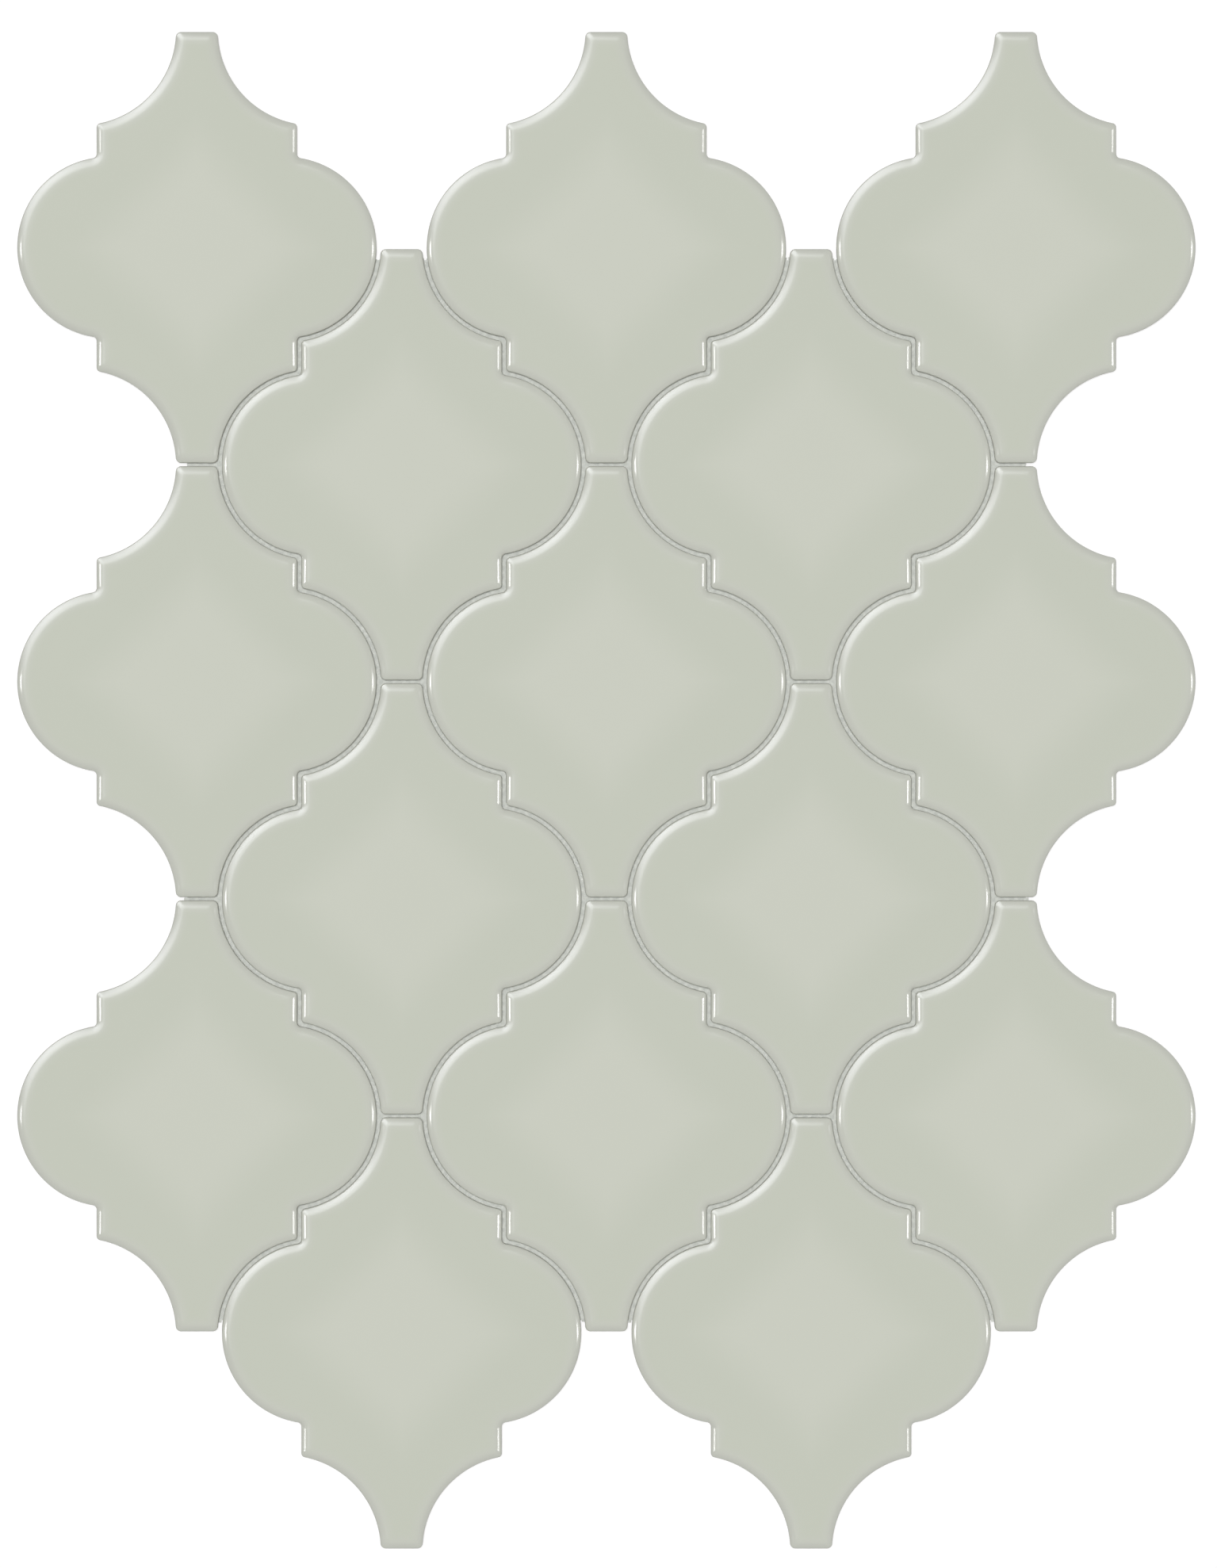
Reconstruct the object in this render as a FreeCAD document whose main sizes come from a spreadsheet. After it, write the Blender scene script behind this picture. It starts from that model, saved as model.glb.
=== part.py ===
import FreeCAD, Part
import math
import os
import Sketcher

# Mosaic sheet of fifteen glazed arabesque tiles on one rectangular woven backing.
# It lies flat: X across the sheet, Y along it, glazed faces up, back of the cloth at Z = 0.

# Driving dimensions in millimetres
DIMENSIONS = {
    "tile_width": 76.2,         # over the two side bulges
    "bulge_radius": 19.2,       # side bulges
    "step_height": 7.17,        # straight step between a bulge and a neck
    "tip_land": 5.76,           # narrowest flat of the face, at the two tips
    "joint_width": 0.9,         # gap between neighbouring tiles
    "tip_gap": 0.7,             # gap between the tips of tiles in one column
    "wall_height": 5.68,        # upright side wall
    "cushion_width": 1.55,      # sloping edge of the face, seen from above
    "cushion_drop": 0.82,       # and its height
    "key_width": 4.5,           # grooves pressed into the back
    "key_depth": 0.4,
    "key_margin": 3.4,          # back left plain beyond the grooves
    "cloth_thickness": 0.5,
    "cloth_overlap": 2.8,       # cloth beyond the middle line of the outer columns
    "cloth_setback": 1.6,       # cloth short of the end tips of the inner columns
}

# Sizes that follow from the driving ones. A neck is concentric with the bulge that nests in it.
LAYOUT = {
    "tip_width": "=Dimensions.tip_land + 2 * Dimensions.cushion_width",
    "column_spacing": "=(Dimensions.tile_width + tip_width) / 2 + Dimensions.joint_width",
    "shoulder_half": "=(column_spacing - Dimensions.joint_width) / 2",
    "bulge_offset": "=Dimensions.tile_width / 2 - Dimensions.bulge_radius",
    "neck_offset": "=column_spacing - bulge_offset",
    "neck_radius": "=Dimensions.bulge_radius + Dimensions.joint_width",
    "step_foot": "=sqrt(Dimensions.bulge_radius ^ 2 - (shoulder_half - bulge_offset) ^ 2)",
    "step_head": "=step_foot + Dimensions.step_height",
    "neck_height": "=step_head + sqrt(neck_radius ^ 2 - (neck_offset - shoulder_half) ^ 2)",
    "row_spacing": "=2 * neck_height",
    "tip_height": "=neck_height - Dimensions.tip_gap / 2",
    "key_half": "=shoulder_half - Dimensions.key_margin",
    "key_reach": "=2 * (step_head - Dimensions.key_margin) - Dimensions.key_width",
    "cloth_width": "=4 * column_spacing + 2 * Dimensions.cloth_overlap",
    "cloth_length": "=1.5 * row_spacing + 2 * (tip_height - Dimensions.cloth_setback)",
}

COLUMNS = "abcde"
ROWS = 3
KEY_COUNT = 5

# Places in a sketch, in the order of their numbers: those on one element, and the axes, which count down from -1
PLACES = ("whole", "start", "end", "centre")
AXES = ("x_axis", "y_axis")
ORIGIN = ("x_axis", "start")

doc = FreeCAD.newDocument("ArabesqueSheet")


def fill_sheet(name, cells):
    sheet = doc.addObject("Spreadsheet::Sheet", name)
    for row, (alias, content) in enumerate(cells.items(), start=1):
        sheet.set(f"A{row}", alias)
        sheet.set(f"B{row}", str(content))
        sheet.setAlias(f"B{row}", alias)
    doc.recompute()
    return sheet


dimensions = fill_sheet("Dimensions", DIMENSIONS)
layout = fill_sheet("Layout", LAYOUT)


def origin_feature(body, role):
    return next(feature for feature in body.Origin.OriginFeatures if feature.Role == role)


def new_sketch(body, name, height=None):
    sketch = body.newObject("Sketcher::SketchObject", name)
    sketch.AttachmentSupport = [(origin_feature(body, "XY_Plane"), "")]
    sketch.MapMode = "FlatFace"
    if height:
        sketch.setExpression("AttachmentOffset.Base.z", height)
    return sketch


def place_number(place):
    if place in PLACES:
        return PLACES.index(place)
    if place in AXES:
        return -1 - AXES.index(place)
    return place


def tie(sketch, kind, *places):
    return sketch.addConstraint(Sketcher.Constraint(kind, *map(place_number, places)))


def drive(sketch, name, formula, kind, *places):
    # one size of a sketch, bound to a formula of the sheets; places end with its value as drawn
    index = tie(sketch, kind, *places)
    sketch.renameConstraint(index, name)
    sketch.setExpression(f"Constraints.{name}", formula)


def draw_line(sketch, start, end):
    return sketch.addGeometry(Part.LineSegment(FreeCAD.Vector(*start), FreeCAD.Vector(*end)))


def draw_arc(sketch, centre, start, end):
    radius = math.dist(centre, start)
    circle = Part.Circle(FreeCAD.Vector(*centre), FreeCAD.Vector(0, 0, 1), radius)
    angles = [math.atan2(y - centre[1], x - centre[0]) for x, y in (start, end)]
    return sketch.addGeometry(Part.ArcOfCircle(circle, *angles))


def draw_outline(sketch, inset=None):
    # The lantern outline, moved inwards by an inset: two tips, four necks, four steps, two bulges
    margin = dimensions.get(inset.split(".")[1]) if inset else 0.0
    inwards = f" - {inset}" if inset else ""
    outwards = f" + {inset}" if inset else ""
    bulge_x = layout.bulge_offset
    neck_x = layout.neck_offset
    neck_y = layout.neck_height
    shoulder = layout.shoulder_half - margin
    tip = layout.tip_height - margin
    neck_radius = layout.neck_radius + margin
    bulge_radius = dimensions.bulge_radius - margin
    land = neck_x - math.sqrt(neck_radius ** 2 - (neck_y - tip) ** 2)
    head = neck_y - math.sqrt(neck_radius ** 2 - (neck_x - shoulder) ** 2)
    foot = math.sqrt(bulge_radius ** 2 - (shoulder - bulge_x) ** 2)

    # counter-clockwise from the upper tip; arcs run counter-clockwise about their own centres
    top = draw_line(sketch, (land, tip), (-land, tip))
    neck_tl = draw_arc(sketch, (-neck_x, neck_y), (-shoulder, head), (-land, tip))
    step_tl = draw_line(sketch, (-shoulder, head), (-shoulder, foot))
    bulge_l = draw_arc(sketch, (-bulge_x, 0.0), (-shoulder, foot), (-shoulder, -foot))
    step_bl = draw_line(sketch, (-shoulder, -foot), (-shoulder, -head))
    neck_bl = draw_arc(sketch, (-neck_x, -neck_y), (-land, -tip), (-shoulder, -head))
    bottom = draw_line(sketch, (-land, -tip), (land, -tip))
    neck_br = draw_arc(sketch, (neck_x, -neck_y), (shoulder, -head), (land, -tip))
    step_br = draw_line(sketch, (shoulder, -head), (shoulder, -foot))
    bulge_r = draw_arc(sketch, (bulge_x, 0.0), (shoulder, -foot), (shoulder, foot))
    step_tr = draw_line(sketch, (shoulder, foot), (shoulder, head))
    neck_tr = draw_arc(sketch, (neck_x, neck_y), (land, tip), (shoulder, head))

    chain = [top, neck_tl, step_tl, bulge_l, step_bl, neck_bl, bottom, neck_br, step_br, bulge_r, step_tr, neck_tr]
    necks = (neck_tl, neck_bl, neck_br, neck_tr)
    for here, following in zip(chain, chain[1:] + chain[:1]):
        leave = "start" if here in necks else "end"
        enter = "end" if following in necks else "start"
        tie(sketch, "Coincident", here, leave, following, enter)

    for element in (top, bottom):
        tie(sketch, "Horizontal", element)
    drive(sketch, "top", "Layout.tip_height" + inwards, "DistanceY", *ORIGIN, top, "start", tip)
    drive(sketch, "bottom", "Layout.tip_height" + inwards, "DistanceY", bottom, "start", *ORIGIN, tip)

    for element in (step_tl, step_bl, step_br, step_tr):
        tie(sketch, "Vertical", element)
    drive(sketch, "right", "Layout.shoulder_half" + inwards, "DistanceX", *ORIGIN, step_tr, "start", shoulder)
    drive(sketch, "left", "Layout.shoulder_half" + inwards, "DistanceX", step_tl, "start", *ORIGIN, shoulder)
    tie(sketch, "Vertical", step_br, "start", step_tr, "start")
    tie(sketch, "Vertical", step_bl, "start", step_tl, "start")

    drive(sketch, "bulge", "Dimensions.bulge_radius" + inwards, "Radius", bulge_r, bulge_radius)
    drive(sketch, "bulge_x", "Layout.bulge_offset", "DistanceX", *ORIGIN, bulge_r, "centre", bulge_x)
    tie(sketch, "PointOnObject", bulge_r, "centre", "x_axis")
    tie(sketch, "Equal", bulge_l, bulge_r)
    tie(sketch, "Symmetric", bulge_l, "centre", bulge_r, "centre", *ORIGIN)

    drive(sketch, "neck", "Layout.neck_radius" + outwards, "Radius", neck_tr, neck_radius)
    drive(sketch, "neck_x", "Layout.neck_offset", "DistanceX", *ORIGIN, neck_tr, "centre", neck_x)
    drive(sketch, "neck_y", "Layout.neck_height", "DistanceY", *ORIGIN, neck_tr, "centre", neck_y)
    for element in (neck_tl, neck_bl, neck_br):
        tie(sketch, "Equal", element, neck_tr)
    tie(sketch, "Symmetric", neck_tl, "centre", neck_tr, "centre", "y_axis")
    tie(sketch, "Symmetric", neck_br, "centre", neck_tr, "centre", "x_axis")
    tie(sketch, "Symmetric", neck_bl, "centre", neck_tr, "centre", *ORIGIN)


def draw_key(sketch):
    # one groove of the back, the lowest of the row
    half = layout.key_half
    low = -layout.key_reach / 2 - dimensions.key_width / 2
    high = low + dimensions.key_width
    lower = draw_line(sketch, (-half, low), (half, low))
    right = draw_line(sketch, (half, low), (half, high))
    upper = draw_line(sketch, (half, high), (-half, high))
    left = draw_line(sketch, (-half, high), (-half, low))
    for here, following in ((lower, right), (right, upper), (upper, left), (left, lower)):
        tie(sketch, "Coincident", here, "end", following, "start")
    tie(sketch, "Horizontal", upper)
    tie(sketch, "Vertical", right)
    tie(sketch, "Vertical", left)
    tie(sketch, "Symmetric", lower, "start", lower, "end", "y_axis")
    drive(sketch, "half", "Layout.key_half", "DistanceX", *ORIGIN, right, "start", half)
    drive(sketch, "width", "Dimensions.key_width", "DistanceY", right, "start", right, "end", high - low)
    drive(
        sketch, "low", "(Layout.key_reach + Dimensions.key_width) / 2",
        "DistanceY", right, "start", *ORIGIN, -low,
    )


def model_tile():
    # One tile, its back on Z = 0: upright wall, sloping cushion edge up to the flat face, grooved back
    body = doc.addObject("PartDesign::Body", "tile")

    wall_outline = new_sketch(body, "wall_outline")
    draw_outline(wall_outline)
    wall = body.newObject("PartDesign::Pad", "wall")
    wall.Profile = wall_outline
    wall.setExpression("Length", "Dimensions.wall_height")

    rim_outline = new_sketch(body, "rim_outline", "Dimensions.wall_height")
    draw_outline(rim_outline)
    face_outline = new_sketch(body, "face_outline", "Dimensions.wall_height + Dimensions.cushion_drop")
    draw_outline(face_outline, "Dimensions.cushion_width")
    cushion = body.newObject("PartDesign::AdditiveLoft", "cushion")
    cushion.Profile = rim_outline
    cushion.Sections = [face_outline]
    cushion.Ruled = True

    key_outline = new_sketch(body, "key_outline")
    draw_key(key_outline)
    key = body.newObject("PartDesign::Pocket", "key")
    key.Profile = key_outline
    key.Reversed = True
    key.setExpression("Length", "Dimensions.key_depth")
    doc.recompute()
    keys = body.newObject("PartDesign::LinearPattern", "keys")
    keys.Originals = [key]
    keys.Direction = (origin_feature(body, "Y_Axis"), [""])
    keys.Occurrences = KEY_COUNT
    keys.setExpression("Length", "Layout.key_reach")
    body.Tip = keys
    doc.recompute()
    return body


def place_tile(pattern, label, across, along):
    # a copy of the tile in its place on the cloth, in column and row spacings from the middle
    body = doc.addObject("PartDesign::Body", label)
    copy = doc.addObject("PartDesign::FeatureBase", label + "_copy")
    copy.BaseFeature = pattern
    body.Group = [copy]
    body.Tip = copy
    body.Label = label
    body.setExpression("Placement.Base.x", f"{across} * Layout.column_spacing")
    body.setExpression("Placement.Base.y", f"{along} * Layout.row_spacing")
    body.setExpression("Placement.Base.z", "Dimensions.cloth_thickness")
    return body


def lay_cloth():
    cloth = doc.addObject("Part::Box", "mesh_backing")
    cloth.Label = "mesh_backing"
    cloth.setExpression("Length", "Layout.cloth_width")
    cloth.setExpression("Width", "Layout.cloth_length")
    cloth.setExpression("Height", "Dimensions.cloth_thickness")
    cloth.setExpression("Placement.Base.x", "-Layout.cloth_width / 2")
    cloth.setExpression("Placement.Base.y", "-Layout.cloth_length / 2")
    return cloth


tile = model_tile()
subparts = [lay_cloth()]
middle_column = (len(COLUMNS) - 1) / 2
for column, letter in enumerate(COLUMNS):
    # every second column sits half a row lower
    first_row = 1.25 if column % 2 == 0 else 0.75
    for row in range(ROWS):
        subparts.append(place_tile(tile, f"tile_{letter}{row + 1}", column - middle_column, first_row - row))
doc.recompute()

for item in doc.Objects:
    if "Invalid" in item.State or "Error" in item.State:
        raise RuntimeError(f"{item.Name} failed: {item.State}")
for subpart in subparts:
    if subpart.Shape.isNull() or not subpart.Shape.isValid():
        raise RuntimeError(f"{subpart.Label} has no valid shape")

os.makedirs("parts", exist_ok=True)
for subpart in subparts:
    subpart.Shape.exportStep(f"parts/{subpart.Label}.step")
    print(subpart.Label, round(subpart.Shape.Volume, 3), subpart.Shape.BoundBox)
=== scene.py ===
import math
import random

import bmesh
import bpy
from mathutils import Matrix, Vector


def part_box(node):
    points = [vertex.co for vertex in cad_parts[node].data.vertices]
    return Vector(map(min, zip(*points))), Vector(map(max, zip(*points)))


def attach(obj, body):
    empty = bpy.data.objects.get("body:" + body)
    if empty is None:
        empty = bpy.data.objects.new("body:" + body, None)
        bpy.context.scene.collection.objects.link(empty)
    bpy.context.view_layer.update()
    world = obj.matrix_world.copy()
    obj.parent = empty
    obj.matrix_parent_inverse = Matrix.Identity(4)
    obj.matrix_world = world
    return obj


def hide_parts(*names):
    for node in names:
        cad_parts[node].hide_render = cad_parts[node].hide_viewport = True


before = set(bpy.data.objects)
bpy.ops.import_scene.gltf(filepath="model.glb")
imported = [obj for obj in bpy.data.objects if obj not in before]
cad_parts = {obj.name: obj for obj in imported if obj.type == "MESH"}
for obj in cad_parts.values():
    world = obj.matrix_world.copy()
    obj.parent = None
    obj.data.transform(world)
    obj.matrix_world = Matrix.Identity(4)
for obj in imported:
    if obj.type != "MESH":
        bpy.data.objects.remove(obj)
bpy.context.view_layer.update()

mm = 0.001
random.seed(11)


def linear(code):
    # sRGB hex to the linear numbers that shaders use
    parts = [int(code[i:i + 2], 16) / 255 for i in (1, 3, 5)]
    return [c / 12.92 if c <= 0.04045 else ((c + 0.055) / 1.055) ** 2.4 for c in parts] + [1.0]


def addNode(tree, kind, values=None, links=None, **settings):
    made = tree.nodes.new(kind)
    for name, value in settings.items():
        setattr(made, name, value)
    for name, value in (values or {}).items():
        made.inputs[name].default_value = value
    for name, socket in (links or {}).items():
        tree.links.new(socket, made.inputs[name])
    return made


def newMaterial(name):
    made = bpy.data.materials.new(name)
    made.use_nodes = True
    tree = made.node_tree
    return made, tree, tree.nodes["Principled BSDF"]


def onlySelect(piece):
    bpy.ops.object.select_all(action="DESELECT")
    piece.select_set(True)
    bpy.context.view_layer.objects.active = piece


# glossy pale grey-green glaze, coloured a little lighter in a diamond in the middle of each face,
# and paler and greyer along the rim
glazeLook = {
    "flat": "#c5c9bb", "lighterMiddle": "#cbcec1", "rim": "#c8cac0",
    # where the lighter middle starts and stops fading, as a share of the diamond's reach
    "middleFull": 0.44, "middleEnd": 1.0,
    # slow unevenness, in millimetres, and how much of it shows
    "cloud": 14, "cloudShare": 0.2,
    "roughness": 0.16, "ior": 1.5,
}
glaze, tree, shader = newMaterial("celadon_glaze")
face = addNode(tree, "ShaderNodeUVMap", uv_map="face")
spot = addNode(tree, "ShaderNodeSeparateXYZ", links={"Vector": face.outputs["UV"]})
across = addNode(tree, "ShaderNodeMath", links={0: spot.outputs["X"]}, operation="ABSOLUTE")
along = addNode(tree, "ShaderNodeMath", links={0: spot.outputs["Y"]}, operation="ABSOLUTE")
diamond = addNode(tree, "ShaderNodeMath", links={0: across.outputs[0], 1: along.outputs[0]},
                  operation="ADD")
# the face coloured a little lighter in a diamond towards its middle
middleRange = {"From Min": glazeLook["middleFull"], "From Max": glazeLook["middleEnd"], "To Min": 1.0, "To Max": 0.0}
lighterMiddle = addNode(tree, "ShaderNodeMapRange", middleRange, {"Value": diamond.outputs[0]},
                 interpolation_type="SMOOTHSTEP")
place = addNode(tree, "ShaderNodeTexCoord")
cloud = addNode(tree, "ShaderNodeTexNoise", {"Scale": 1 / (glazeLook["cloud"] * mm), "Detail": 2.0},
                {"Vector": place.outputs["Object"]})
uneven = addNode(tree, "ShaderNodeMath", {1: glazeLook["cloudShare"]},
                 {0: cloud.outputs["Fac"], 2: lighterMiddle.outputs["Result"]}, operation="MULTIPLY_ADD")
tone = addNode(tree, "ShaderNodeMix", {6: linear(glazeLook["flat"]), 7: linear(glazeLook["lighterMiddle"])},
               {0: uneven.outputs[0]}, data_type="RGBA", clamp_factor=False)
# paler, greyer colour along the rim, fading out further in
rimShare = addNode(tree, "ShaderNodeAttribute", attribute_name="rimShare")
rimTone = addNode(tree, "ShaderNodeMix", {7: linear(glazeLook["rim"])},
                   {0: rimShare.outputs["Fac"], 6: tone.outputs[2]}, data_type="RGBA")
tree.links.new(rimTone.outputs[2], shader.inputs["Base Color"])
shader.inputs["Roughness"].default_value = glazeLook["roughness"]
shader.inputs["IOR"].default_value = glazeLook["ior"]

# dry off-white fired body with a fine grit, on the back and low on the sides
bodyLook = {
    "dark": "#d9d4c8", "light": "#ece8de", "grit": 0.9, "gritHigh": 0.05, "gritShows": 0.35,
    "roughness": 0.9, "ior": 1.5,
}
biscuit, tree, shader = newMaterial("fired_body")
place = addNode(tree, "ShaderNodeTexCoord")
grit = addNode(tree, "ShaderNodeTexNoise", {"Scale": 1 / (bodyLook["grit"] * mm), "Detail": 3.0},
               {"Vector": place.outputs["Object"]})
tone = addNode(tree, "ShaderNodeMix", {6: linear(bodyLook["dark"]), 7: linear(bodyLook["light"])},
               {0: grit.outputs["Fac"]}, data_type="RGBA")
tree.links.new(tone.outputs[2], shader.inputs["Base Color"])
dust = addNode(tree, "ShaderNodeBump",
               {"Strength": bodyLook["gritShows"], "Distance": bodyLook["gritHigh"] * mm},
               {"Height": grit.outputs["Fac"]})
tree.links.new(dust.outputs["Normal"], shader.inputs["Normal"])
shader.inputs["Roughness"].default_value = bodyLook["roughness"]
shader.inputs["IOR"].default_value = bodyLook["ior"]

# one tile, in millimetres and degrees, measured from its middle and from the floor
tile = {
    "tipY": 45.7068, "shoulderX": 21.265,
    "neckX": 24.530, "neckY": 46.057, "neckR": 20.1,
    "bulgeX": 18.900, "bulgeR": 19.2,
    # rounded corners: tip and shoulder lose a little for each millimetre further in, the step widens
    "tipCorner": 1.15, "tipLoses": 0.255, "shoulderCorner": 0.9, "shoulderLoses": 0.2,
    "stepCorner": 0.95, "stepWiden": 0.56, "widenBy": 0.75,
    "cornerSteps": 8, "neckSteps": 34, "bulgeSteps": 36,
    "backZ": 0.5, "backChamfer": 0.3, "faceZ": 6.995, "faceInset": 0.4, "faceRise": 0.003,
    # section of the edge from the wall to the face: arcs of a radius, first and last slope, and steps
    "edge": ((0.6, 90, 38, 7), (4.35, 38, 28, 3), (2.15, 28, 2.5, 8), (25.0, 2.5, 0, 3)),
    # where the glaze stops on the sides, and how high and how often its lower edge wanders
    "glazeZ": 4.4, "wanderX": (0.25, 5.1), "wanderY": (0.2, 3.7),
    # reach of the diamond, and how far in from the wall the paler rim colour reaches
    "middleReach": 31.0, "rimShareFrom": 3.2, "rimShareTo": 0.8,
    # grooves across the back
    "keys": 5, "keyHalf": 17.865, "keyWide": 4.5, "keyDeep": 0.4, "keyReach": 41.148,
    "crease": 32, "sameLevel": 0.001, "weld": 0.01,
}


def traceQuarter(inset, z):
    # a chain of edges from the middle of the tip round to the end of the bulge
    tipRound = tile["tipCorner"] - tile["tipLoses"] * inset
    shoulderRound = tile["shoulderCorner"] - tile["shoulderLoses"] * inset
    stepRound = tile["stepCorner"] + inset + tile["stepWiden"] * min(1, inset / tile["widenBy"])
    neckX, neckY, neckR = tile["neckX"], tile["neckY"], tile["neckR"] + inset
    bulgeX, bulgeR = tile["bulgeX"], tile["bulgeR"] - inset
    top = tile["tipY"] - inset
    side = tile["shoulderX"] - inset
    tipY = top - tipRound
    tipX = neckX - math.sqrt((neckR + tipRound) ** 2 - (neckY - tipY) ** 2)
    shoulderX = side - shoulderRound
    shoulderY = neckY - math.sqrt((neckR + shoulderRound) ** 2 - (neckX - shoulderX) ** 2)
    stepX = side + stepRound
    stepY = math.sqrt((bulgeR + stepRound) ** 2 - (stepX - bulgeX) ** 2)
    tipTurn = math.pi / 2 - math.atan2(neckY - tipY, neckX - tipX)
    shoulderTurn = math.atan2(neckY - shoulderY, neckX - shoulderX)
    neckTurn = math.atan2(shoulderY - neckY, shoulderX - neckX) - math.atan2(tipY - neckY, tipX - neckX)
    bulgeTurn = math.atan2(stepY, stepX - bulgeX)

    def line(x, y):
        bpy.ops.mesh.extrude_region_move(TRANSFORM_OT_translate={"value": (x * mm, y * mm, 0)})

    def arc(x, y, turn, steps):
        # a positive turn runs clockwise
        bpy.ops.mesh.spin(steps=steps, angle=turn, center=(x * mm, y * mm, z * mm), axis=(0, 0, 1))

    bpy.ops.mesh.primitive_plane_add(size=mm, location=(0, top * mm, z * mm))
    bpy.ops.mesh.merge(type="CENTER")
    line(tipX, 0)
    arc(tipX, tipY, tipTurn, tile["cornerSteps"])
    arc(neckX, neckY, -neckTurn, tile["neckSteps"])
    arc(shoulderX, shoulderY, shoulderTurn, tile["cornerSteps"])
    line(0, stepY - shoulderY)
    arc(stepX, stepY, -bulgeTurn, tile["cornerSteps"])
    arc(bulgeX, 0, bulgeTurn, tile["bulgeSteps"])


def selectRings(mesh, *heights):
    bpy.ops.mesh.select_all(action="DESELECT")
    shape = bmesh.from_edit_mesh(mesh)
    for edge in shape.edges:
        levels = [vert.co.z / mm for vert in edge.verts]
        if any(max(abs(level - z) for level in levels) < tile["sameLevel"] for z in heights):
            edge.select_set(True)
    bmesh.update_edit_mesh(mesh)


def edgeSection():
    # rings from the wall up to the face, as inset and height above the rim
    rings = [(0.0, 0.0)]
    for radius, steep, flat, steps in tile["edge"]:
        inset, rise = rings[-1]
        start = math.radians(steep)
        for step in range(1, steps + 1):
            slope = math.radians(steep + (flat - steep) * step / steps)
            rings.append((inset + radius * (math.sin(start) - math.sin(slope)),
                          rise + radius * (math.cos(slope) - math.cos(start))))
    return rings


def pressKeys(piece):
    # grooves pressed into the back
    cutters = []
    for i in range(tile["keys"]):
        y = tile["keyReach"] * (i / (tile["keys"] - 1) - 0.5)
        bpy.ops.mesh.primitive_cube_add(size=1, location=(0, y * mm, tile["backZ"] * mm))
        size = (2 * tile["keyHalf"], tile["keyWide"], 2 * tile["keyDeep"])
        bpy.context.object.scale = [length * mm for length in size]
        cutters.append(bpy.context.object)
    for cutter in cutters:
        cutter.select_set(True)
    bpy.ops.object.join()
    cutter = bpy.context.object
    onlySelect(piece)
    cut = piece.modifiers.new("keys", "BOOLEAN")
    cut.operation = "DIFFERENCE"
    cut.object = cutter
    bpy.ops.object.modifier_apply(modifier="keys")
    bpy.data.objects.remove(cutter)


def modelTile():
    section = edgeSection()
    backZ, faceZ, chamfer = tile["backZ"], tile["faceZ"], tile["backChamfer"]
    deepest, rise = section[-1]
    rings = [(chamfer, backZ), (0.0, backZ + chamfer), (0.0, tile["glazeZ"])]
    rings += [(inset, faceZ - rise + high) for inset, high in section]
    rings += [(deepest + tile["faceInset"], faceZ + tile["faceRise"])]

    bpy.ops.object.select_all(action="DESELECT")
    bpy.ops.mesh.primitive_plane_add(size=mm)
    made = bpy.context.object
    bpy.ops.object.mode_set(mode="EDIT")
    bpy.ops.mesh.select_mode(type="VERT")
    bpy.ops.mesh.delete(type="VERT")
    for inset, z in rings:
        traceQuarter(inset, z)
    bpy.ops.object.mode_set(mode="OBJECT")
    flip = made.modifiers.new("flip", "MIRROR")
    flip.use_axis = (True, True, False)
    flip.merge_threshold = tile["weld"] * mm
    bpy.ops.object.modifier_apply(modifier="flip")

    # skin from ring to ring, then the back and the face
    bpy.ops.object.mode_set(mode="EDIT")
    bpy.ops.mesh.select_mode(type="EDGE")
    for (_, lower), (_, upper) in zip(rings, rings[1:]):
        selectRings(made.data, lower, upper)
        bpy.ops.mesh.bridge_edge_loops()
    for z in (rings[0][1], rings[-1][1]):
        selectRings(made.data, z)
        bpy.ops.mesh.edge_face_add()
    bpy.ops.mesh.select_all(action="SELECT")
    bpy.ops.mesh.normals_make_consistent(inside=False)
    bpy.ops.object.mode_set(mode="OBJECT")
    pressKeys(made)

    onlySelect(made)
    bpy.ops.object.shade_smooth_by_angle(angle=math.radians(tile["crease"]))
    made.data.materials.append(glaze)
    made.data.materials.append(biscuit)
    for polygon in made.data.polygons:
        polygon.material_index = 1 if polygon.center.z < tile["glazeZ"] * mm else 0
    uv = made.data.uv_layers.new(name="face")
    for loop in made.data.loops:
        point = made.data.vertices[loop.vertex_index].co
        uv.data[loop.index].uv = (point.x / (tile["middleReach"] * mm), point.y / (tile["middleReach"] * mm))
    rimShare = made.data.attributes.new("rimShare", "FLOAT", "POINT")
    for vert in made.data.vertices:
        inset = min(rings, key=lambda ring: abs(ring[1] - vert.co.z / mm))[0]
        share = (tile["rimShareFrom"] - inset) / (tile["rimShareFrom"] - tile["rimShareTo"])
        rimShare.data[vert.index].value = max(0, min(1, share))
    return made


def wanderGlaze(piece):
    # the glaze stopped at its own height all round each tile
    (highX, longX), (highY, longY) = tile["wanderX"], tile["wanderY"]
    for vert in piece.data.vertices:
        if abs(vert.co.z / mm - tile["glazeZ"]) < tile["sameLevel"]:
            wander = highX * math.sin(vert.co.x / (longX * mm)) + highY * math.sin(vert.co.y / (longY * mm))
            vert.co.z += wander * mm


first = modelTile()
print("tile modelled:", len(first.data.polygons), "faces,", len(first.data.vertices), "points")

# fifteen tiles in five columns, every second column half a row lower
spots = []
for column in "abcde":
    for row in "123":
        low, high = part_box(f"tile_{column}{row}")
        x, y = ((low[axis] + high[axis]) / 2 for axis in (0, 1))
        onlySelect(first)
        bpy.ops.object.duplicate()
        piece = bpy.context.object
        piece.name = f"glazed_{column}{row}"
        bpy.ops.transform.translate(value=(x, y, 0))
        bpy.ops.object.transform_apply(location=True, rotation=True, scale=True)
        wanderGlaze(piece)
        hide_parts(f"tile_{column}{row}")
        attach(piece, "root")
        spots.append((x / mm, y / mm))
bpy.data.objects.remove(first)
print("tiles laid:", len(spots))

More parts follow.
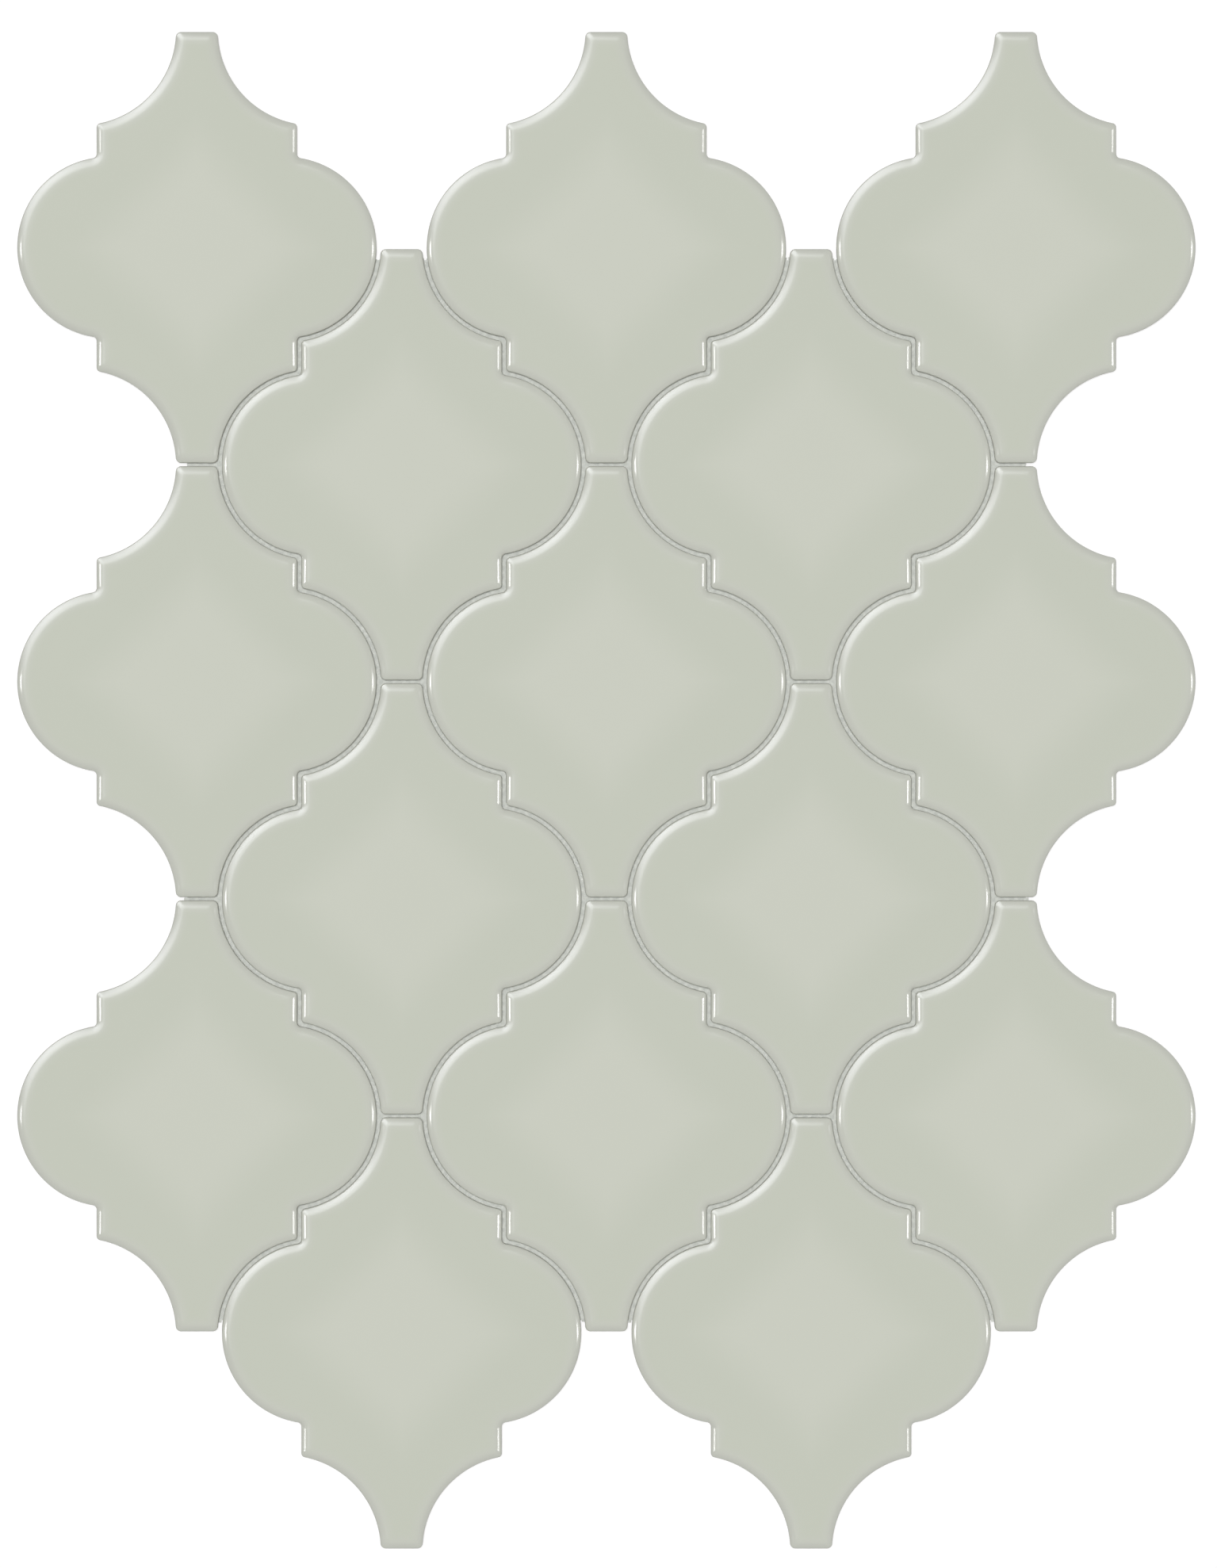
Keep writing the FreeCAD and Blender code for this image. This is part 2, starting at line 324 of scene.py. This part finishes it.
# cloth behind the tiles, in millimetres and degrees; its pitch of 1 mm is drawn a little coarser than real,
# so that the woven relief shows and stays light
cloth = {
    "wide": 179.32, "long": 226.384, "thick": 0.49, "clear": 0.002, "crease": 40,
    # yarns each way, and how far they stand up
    "ends": 178, "picks": 224, "crimp": 0.06,
    # yarn ends along the cut edges
    "fray": 0.7, "hidden": 0.3, "sway": 0.1, "cutShort": 0.9,
    "yarnWide": 0.75, "yarnHigh": 0.3, "yarnSides": 6,
    # rise under a joint, and glue tone behind a tile
    "sag": 0.14, "bridgeFrom": 1.5, "bridgeTo": -0.3, "glue": 0.3,
}
wovenWide, wovenLong = (cloth[side] - 2 * cloth["fray"] for side in ("wide", "long"))

# plain-woven glass fibre, dull white: every crossing stands up a little, and a painted sheen tones warp-over
# and weft-over crossings apart;
# from below it is a little darker and yellower where the glue soaked in behind each tile
fibreLook = {
    "dark": "#cacec9", "light": "#e6e9e4", "soaked": "#c4c2b4",
    "fuzz": 0.6, "sheenShare": 0.25, "yarnHigh": 0.12, "yarnShows": 0.5, "roughness": 0.75, "ior": 1.5,
}
fibre, tree, shader = newMaterial("glass_fibre_cloth")
place = addNode(tree, "ShaderNodeTexCoord")
spot = addNode(tree, "ShaderNodeSeparateXYZ", links={"Vector": place.outputs["Object"]})
waves = []
for axis, yarns, spread in (("X", cloth["ends"], wovenWide), ("Y", cloth["picks"], wovenLong)):
    turns = addNode(tree, "ShaderNodeMath", {1: math.pi * yarns / (spread * mm)}, {0: spot.outputs[axis]},
                    operation="MULTIPLY")
    waves.append(addNode(tree, "ShaderNodeMath", links={0: turns.outputs[0]}, operation="COSINE"))
crossing = addNode(tree, "ShaderNodeMath", links={0: waves[0].outputs[0], 1: waves[1].outputs[0]},
                   operation="MULTIPLY")
raised = addNode(tree, "ShaderNodeMath", links={0: crossing.outputs[0]}, operation="ABSOLUTE")
fuzz = addNode(tree, "ShaderNodeTexNoise", {"Scale": 1 / (fibreLook["fuzz"] * mm), "Detail": 3.0},
               {"Vector": place.outputs["Object"]})
# painted sheen: crossings toned apart by which yarn lies over, plus random fuzz in the yarn's tone
sheenAndFuzz = addNode(tree, "ShaderNodeMath", {1: fibreLook["sheenShare"]},
                {0: crossing.outputs[0], 2: fuzz.outputs["Fac"]}, operation="MULTIPLY_ADD")
tone = addNode(tree, "ShaderNodeMix", {6: linear(fibreLook["dark"]), 7: linear(fibreLook["light"])},
               {0: sheenAndFuzz.outputs[0]}, data_type="RGBA")
glued = addNode(tree, "ShaderNodeAttribute", attribute_name="glued")
soaked = addNode(tree, "ShaderNodeMix", {7: linear(fibreLook["soaked"])},
                 {0: glued.outputs["Fac"], 6: tone.outputs[2]}, data_type="RGBA")
tree.links.new(soaked.outputs[2], shader.inputs["Base Color"])
yarn = addNode(tree, "ShaderNodeBump",
               {"Strength": fibreLook["yarnShows"], "Distance": fibreLook["yarnHigh"] * mm},
               {"Height": raised.outputs[0]})
tree.links.new(yarn.outputs["Normal"], shader.inputs["Normal"])
shader.inputs["Roughness"].default_value = fibreLook["roughness"]
shader.inputs["IOR"].default_value = fibreLook["ior"]


def cutYarns(length, yarns, spread):
    # yarn ends along two opposite cut edges, each as long as the shears left it
    count, pitch = yarns + 1, spread / yarns
    stub = cloth["fray"] + cloth["hidden"]
    bpy.ops.object.select_all(action="DESELECT")
    bpy.ops.mesh.primitive_cylinder_add(vertices=cloth["yarnSides"], radius=0.5, depth=1,
                                        rotation=(math.pi / 2, 0, 0))
    made = bpy.context.object
    bpy.ops.object.transform_apply(location=True, rotation=True, scale=True)
    made.scale = (cloth["yarnWide"] * mm, stub * mm, cloth["yarnHigh"] * mm)
    made.location = ((1 - count) / 2 * pitch * mm, (length - stub) / 2 * mm, cloth["thick"] / 2 * mm)
    bpy.ops.object.transform_apply(location=True, rotation=True, scale=True)
    row = made.modifiers.new("row", "ARRAY")
    row.count = count
    row.use_relative_offset = False
    row.use_constant_offset = True
    row.constant_offset_displace = (pitch * mm, 0, 0)
    bpy.ops.object.modifier_apply(modifier="row")
    flip = made.modifiers.new("flip", "MIRROR")
    flip.use_axis = (False, True, False)
    flip.use_mirror_merge = False
    bpy.ops.object.modifier_apply(modifier="flip")
    perYarn = len(made.data.vertices) // (2 * count)
    cutLine = (length / 2 - cloth["fray"]) * mm
    for number in range(2 * count):
        sway = random.uniform(-cloth["sway"], cloth["sway"]) * mm
        short = random.uniform(0, cloth["cutShort"])
        for vert in made.data.vertices[number * perYarn:(number + 1) * perYarn]:
            if abs(vert.co.y) > cutLine:
                vert.co.x += sway
                vert.co.y += short * (math.copysign(cutLine, vert.co.y) - vert.co.y)
    return made


def insideTile(x, y):
    # how far a spot of the cloth lies inside the outline of a tile; below zero in a joint
    deepest = -1.0
    for tileX, tileY in spots:
        across, along = abs(x - tileX), abs(y - tileY)
        bulge = tile["bulgeR"] - math.hypot(across - tile["bulgeX"], along)
        neck = math.hypot(across - tile["neckX"], along - tile["neckY"]) - tile["neckR"]
        deepest = max(deepest, bulge, min(neck, tile["shoulderX"] - across, tile["tipY"] - along))
    return deepest


def layCloth():
    # one crossing at each point of the grid, where warp and weft pass over each other in turn;
    # drawn up a little from below where it bridges a joint, level on top against the tiles
    bpy.ops.object.select_all(action="DESELECT")
    bpy.ops.mesh.primitive_grid_add(x_subdivisions=cloth["ends"], y_subdivisions=cloth["picks"], size=1)
    made = bpy.context.object
    made.scale = (wovenWide * mm, wovenLong * mm, 1)
    bpy.ops.object.transform_apply(location=True, rotation=True, scale=True)
    bpy.ops.object.mode_set(mode="EDIT")
    bpy.ops.mesh.select_all(action="SELECT")
    bpy.ops.mesh.extrude_region_move(TRANSFORM_OT_translate={"value": (0, 0, cloth["thick"] * mm)})
    bpy.ops.mesh.select_all(action="SELECT")
    bpy.ops.mesh.normals_make_consistent(inside=False)
    bpy.ops.object.mode_set(mode="OBJECT")
    glued = made.data.attributes.new("glued", "FLOAT", "POINT")
    crimp, bridgeFrom = cloth["crimp"], cloth["bridgeFrom"]
    for vert in made.data.vertices:
        x, y = vert.co.x / mm, vert.co.y / mm
        crossings = round(x / wovenWide * cloth["ends"]) + round(y / wovenLong * cloth["picks"])
        lift = crimp if crossings % 2 == 0 else -crimp
        if vert.co.z > 0:
            vert.co.z = (cloth["thick"] - crimp + lift) * mm
        else:
            bridge = (bridgeFrom - insideTile(x, y)) / (bridgeFrom - cloth["bridgeTo"])
            bridge = max(0, min(1, bridge))
            vert.co.z = (cloth["clear"] + crimp + lift + cloth["sag"] * bridge) * mm
            glued.data[vert.index].value = cloth["glue"] * (1 - bridge)
    bpy.ops.object.shade_smooth_by_angle(angle=math.radians(cloth["crease"]))
    return made


backing = layCloth()
warp = cutYarns(cloth["long"], cloth["ends"], wovenWide)
weft = cutYarns(cloth["wide"], cloth["picks"], wovenLong)
weft.rotation_euler.z = math.pi / 2
bpy.ops.object.transform_apply(location=True, rotation=True, scale=True)
onlySelect(backing)
warp.select_set(True)
weft.select_set(True)
bpy.ops.object.join()
backing.name = "backing_cloth"
backing.data.materials.clear()
backing.data.materials.append(fibre)
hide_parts("mesh_backing")
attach(backing, "root")
print("cloth laid:", len(backing.data.polygons), "faces")

# white room: levels of light are what a flat face gets, as a share of full white
studio = {
    "floor": 6.0, "drop": 0.02, "paper": "#bfbfbf", "shown": 0.55, "dim": "#b3b3b3",
    "room": 0.28, "overhead": 0.67, "lean": 1.0, "softness": 4, "sunAway": 2.0,
}


def shownRays(tree):
    # 1 for rays that show the white room, straight or in a mirror or glass; 0 for those that light the object
    ray = addNode(tree, "ShaderNodeLightPath")
    seen = addNode(tree, "ShaderNodeMath", operation="ADD",
                   links={0: ray.outputs["Is Camera Ray"], 1: ray.outputs["Is Glossy Ray"]})
    shown = addNode(tree, "ShaderNodeMath", operation="ADD", use_clamp=True,
                    links={0: seen.outputs[0], 1: ray.outputs["Is Transmission Ray"]})
    return shown.outputs[0]


# pale floor that is white in the picture and in mirrors, and keeps the shadow; its glow has a dim colour and
# more strength, because a bright colour would be sampled as a lamp and add grain
paper, tree, shader = newMaterial("white_paper")
shader.inputs["Base Color"].default_value = linear(studio["paper"])
shader.inputs["Roughness"].default_value = 1.0
shader.inputs["Specular IOR Level"].default_value = 0.0
dim = linear(studio["dim"])
glow = addNode(tree, "ShaderNodeMath", {1: studio["shown"] / dim[0]}, {0: shownRays(tree)},
               operation="MULTIPLY")
tree.links.new(glow.outputs[0], shader.inputs["Emission Strength"])
shader.inputs["Emission Color"].default_value = dim
bpy.ops.object.select_all(action="DESELECT")
bpy.ops.mesh.primitive_plane_add(size=studio["floor"], location=(0, 0, -studio["drop"] * mm))
floor = bpy.context.object
floor.name = "floor"
floor.data.materials.append(paper)

# white surroundings: full white where they are seen, dim as light
world = bpy.data.worlds.new("white_room")
bpy.context.scene.world = world
world.use_nodes = True
tree = world.node_tree
level = addNode(tree, "ShaderNodeMapRange", {"To Min": studio["room"], "To Max": 1.0},
                {"Value": shownRays(tree)})
tree.nodes["Background"].inputs["Color"].default_value = linear("#ffffff")
tree.links.new(level.outputs["Result"], tree.nodes["Background"].inputs["Strength"])


def aimed(azimuth, zenith, distance):
    # place and turn that face the sheet; azimuth from +X towards +Y, zenith from straight up, in degrees
    a, z = math.radians(azimuth), math.radians(zenith)
    away = (math.sin(z) * math.cos(a), math.sin(z) * math.sin(a), math.cos(z))
    return {"location": [distance * part for part in away], "rotation": (z, 0, a + math.pi / 2)}


# big soft card that the edges facing the upper left mirror: brightest in its middle, dimming faster towards
# its two sides, and clear, so that it hides nothing behind it
key = {
    "azimuth": 131, "zenith": 63, "distance": 6.0, "halfWide": 46, "halfTall": 61, "corners": 64,
    "radiance": 8.0, "tint": "#b0b1b7", "dimFrom": 0.32, "dimTo": 0.8,
}
card, tree, shader = newMaterial("lit_card")
tree.nodes.remove(shader)
place = addNode(tree, "ShaderNodeTexCoord")
fade = addNode(tree, "ShaderNodeTexGradient", links={"Vector": place.outputs["Object"]},
               gradient_type="SPHERICAL")
spot = addNode(tree, "ShaderNodeSeparateXYZ", links={"Vector": place.outputs["Object"]})
aside = addNode(tree, "ShaderNodeMath", links={0: spot.outputs["X"]}, operation="ABSOLUTE")
tint = linear(key["tint"])
dimming = {"From Min": key["dimFrom"], "From Max": key["dimTo"],
           "To Min": key["radiance"] / tint[0], "To Max": 0.0}
sides = addNode(tree, "ShaderNodeMapRange", dimming, {"Value": aside.outputs[0]},
                interpolation_type="SMOOTHSTEP")
bright = addNode(tree, "ShaderNodeMath", links={0: fade.outputs["Fac"], 1: sides.outputs["Result"]},
                 operation="MULTIPLY")
light = addNode(tree, "ShaderNodeEmission", {"Color": tint}, {"Strength": bright.outputs[0]})
clear = addNode(tree, "ShaderNodeBsdfTransparent")
both = addNode(tree, "ShaderNodeAddShader", links={0: light.outputs[0], 1: clear.outputs[0]})
tree.links.new(both.outputs[0], tree.nodes["Material Output"].inputs["Surface"])
bpy.ops.mesh.primitive_circle_add(vertices=key["corners"], radius=1, fill_type="NGON",
                                  **aimed(key["azimuth"], key["zenith"], key["distance"]))
softCard = bpy.context.object
softCard.name = "key_card"
halves = [key["distance"] * math.tan(math.radians(key[side])) for side in ("halfWide", "halfTall")]
softCard.scale = halves + [1]
softCard.data.materials.append(card)
softCard.visible_camera = softCard.visible_diffuse = softCard.visible_shadow = False

# narrow cards far off to the left and right, for the crisp lines on the upright steps
strip = {
    "zenith": 58.5, "distance": 14.0, "halfTurn": 4.4, "halfTall": 4.4,
    "radiance": {"left": 24, "right": 23},
}
for side, azimuth in (("left", 180), ("right", 0)):
    bpy.ops.object.light_add(type="AREA", **aimed(azimuth, strip["zenith"], strip["distance"]))
    lamp = bpy.context.object
    lamp.name = f"strip_{side}"
    lamp.data.shape = "RECTANGLE"
    reach = strip["distance"] * math.sin(math.radians(strip["zenith"]))
    lamp.data.size = 2 * reach * math.tan(math.radians(strip["halfTurn"]))
    lamp.data.size_y = 2 * strip["distance"] * math.tan(math.radians(strip["halfTall"]))
    lamp.data.energy = strip["radiance"][side] * math.pi * lamp.data.size * lamp.data.size_y
    lamp.visible_camera = lamp.visible_diffuse = False

# nearly straight down into the joints, kept out of the mirror of the flat faces
bpy.ops.object.light_add(type="SUN", **aimed(key["azimuth"], studio["lean"], studio["sunAway"]))
overhead = bpy.context.object
overhead.name = "overhead"
overhead.data.energy = studio["overhead"] * math.pi
overhead.data.angle = math.radians(studio["softness"])
overhead.visible_glossy = False

# camera straight above, from far off, framed as the picture is; sizes in millimetres
view = {"lens": 1000, "sensor": 36, "tall": 332.56, "aimX": 0.45, "aimY": 1.325, "faceZ": 7.0}
distance = view["tall"] * mm * view["lens"] / view["sensor"]
stand = (view["aimX"] * mm, view["aimY"] * mm, view["faceZ"] * mm + distance)
bpy.ops.object.camera_add(location=stand, rotation=(0, 0, 0))
camera = bpy.context.object
camera.data.lens = view["lens"]
camera.data.sensor_width = view["sensor"]
bpy.context.scene.camera = camera
bpy.context.scene.view_settings.view_transform = "Standard"
print("lights and camera set")
